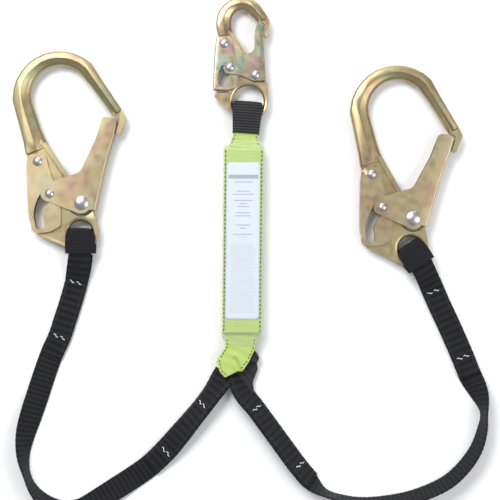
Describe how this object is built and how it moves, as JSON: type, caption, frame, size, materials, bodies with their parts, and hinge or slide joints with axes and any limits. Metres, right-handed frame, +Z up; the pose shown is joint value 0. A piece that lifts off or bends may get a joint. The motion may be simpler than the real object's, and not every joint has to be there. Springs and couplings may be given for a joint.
{
  "type": "shock absorbing lanyard",
  "caption": "Twin-leg shock absorbing lanyard: snap hook, folded shock pack in clear film, and black webbing legs ending in large self-locking scaffold hooks.",
  "frame": {"origin": "on the flat underside of the shock pack's film, at the surface the lanyard lies on, midway between the outer edges of the two scaffold hooks", "axes": "+Y along the shock pack towards the snap hook, +X to the right seen from above, +Z up, out of the surface"},
  "size_m": [0.5276, 0.5801, 0.0254],
  "materials": {
    "scaffold_hook_plating": "satin yellow zinc plate",
    "scaffold_sheet_plating": "satin yellow zinc plate",
    "snap_hook_plating": "iridescent yellow zinc plate",
    "snap_sheet_plating": "iridescent yellow zinc plate",
    "rivet_steel": "bright",
    "spring_steel": "dark",
    "lime_webbing": "woven",
    "clear_film": "clear film",
    "label": "printed film",
    "black_thread": "thread",
    "black_webbing": "woven",
    "white_thread": "thread"
  },
  "bodies": {
    "lanyard": {"tear_webbing_pack": "lime_webbing", "clear_sleeve": "clear_film", "label_panel": "label", "pack_stitching": "black_thread", "upper_loop": "lime_webbing", "snap_wear_sleeve": "black_webbing", "lower_loop": "lime_webbing", "leg_joining_loop": "black_webbing", "left_leg_webbing": "black_webbing", "left_sewn_layers": "black_webbing", "left_hook_loop": "black_webbing", "left_wear_pad": "black_webbing", "left_bar_tacks": "white_thread", "right_leg_webbing": "black_webbing", "right_sewn_layers": "black_webbing", "right_hook_loop": "black_webbing", "right_wear_pad": "black_webbing", "right_bar_tacks": "white_thread"},
    "snap_hook": {"snap_hook_body": "snap_hook_plating", "snap_gate_rivet": "rivet_steel", "snap_lever_rivet": "rivet_steel", "snap_gate_spring": "spring_steel", "snap_lever_spring": "spring_steel"},
    "snap_gate_body": {"snap_gate": "snap_sheet_plating", "snap_lock_pin": "rivet_steel"},
    "snap_lever_body": {"snap_lock_lever": "snap_sheet_plating"},
    "left_scaffold_hook": {"left_hook_body": "scaffold_hook_plating", "left_gate_rivet": "rivet_steel", "left_lever_rivet": "rivet_steel", "left_gate_spring": "spring_steel", "left_lever_spring": "spring_steel"},
    "left_gate_body": {"left_gate": "scaffold_sheet_plating", "left_lock_pin": "rivet_steel"},
    "left_lever_body": {"left_lock_lever": "scaffold_sheet_plating"},
    "right_scaffold_hook": {"right_hook_body": "scaffold_hook_plating", "right_gate_rivet": "rivet_steel", "right_lever_rivet": "rivet_steel", "right_gate_spring": "spring_steel", "right_lever_spring": "spring_steel"},
    "right_gate_body": {"right_gate": "scaffold_sheet_plating", "right_lock_pin": "rivet_steel"},
    "right_lever_body": {"right_lock_lever": "scaffold_sheet_plating"}
  },
  "joints": [
    {"name": "snap_hook_swing", "type": "hinge", "parent": "lanyard", "child": "snap_hook", "pos_m": [0.0118, 0.104, 0.0108], "axis": [0, 0, 1], "range_deg": [-20, 20]},
    {"name": "snap_gate_hinge", "type": "hinge", "parent": "snap_hook", "child": "snap_gate_body", "pos_m": [0.02, 0.133, 0.0108], "axis": [0, 0, 1], "range_deg": [0, 25], "stiffness_Nm_per_rad": 0.25, "springref_deg": -34.38},
    {"name": "snap_lever_hinge", "type": "hinge", "parent": "snap_hook", "child": "snap_lever_body", "pos_m": [-0.0147, 0.168, 0.0108], "axis": [0, 0, 1], "range_deg": [0, 10.75]},
    {"name": "left_hook_swing", "type": "hinge", "parent": "lanyard", "child": "left_scaffold_hook", "pos_m": [-0.1744, -0.0418, 0.0108], "axis": [0, 0, 1], "range_deg": [-30, 20]},
    {"name": "left_gate_hinge", "type": "hinge", "parent": "left_scaffold_hook", "child": "left_gate_body", "pos_m": [-0.173, -0.009, 0.0108], "axis": [0, 0, 1], "range_deg": [0, 40], "stiffness_Nm_per_rad": 0.25, "springref_deg": -34.38},
    {"name": "left_lever_hinge", "type": "hinge", "parent": "left_scaffold_hook", "child": "left_lever_body", "pos_m": [-0.2215, 0.0372, 0.0108], "axis": [0, 0, 1], "range_deg": [0, 15.2]},
    {"name": "right_hook_swing", "type": "hinge", "parent": "lanyard", "child": "right_scaffold_hook", "pos_m": [0.19171, -0.05867, 0.0108], "axis": [0, 0, 1], "range_deg": [-15, 35]},
    {"name": "right_gate_hinge", "type": "hinge", "parent": "right_scaffold_hook", "child": "right_gate_body", "pos_m": [0.195, -0.026, 0.0108], "axis": [0, 0, 1], "range_deg": [0, 40], "stiffness_Nm_per_rad": 0.25, "springref_deg": -34.38},
    {"name": "right_lever_hinge", "type": "hinge", "parent": "right_scaffold_hook", "child": "right_lever_body", "pos_m": [0.14924, 0.02292, 0.0108], "axis": [0, 0, 1], "range_deg": [0, 15.2]}
  ],
  "couplings": [
    {"joint": "snap_lever_hinge", "follows": "snap_gate_hinge", "ratio": 0.43},
    {"joint": "left_lever_hinge", "follows": "left_gate_hinge", "ratio": 0.38},
    {"joint": "right_lever_hinge", "follows": "right_gate_hinge", "ratio": 0.38}
  ]
}
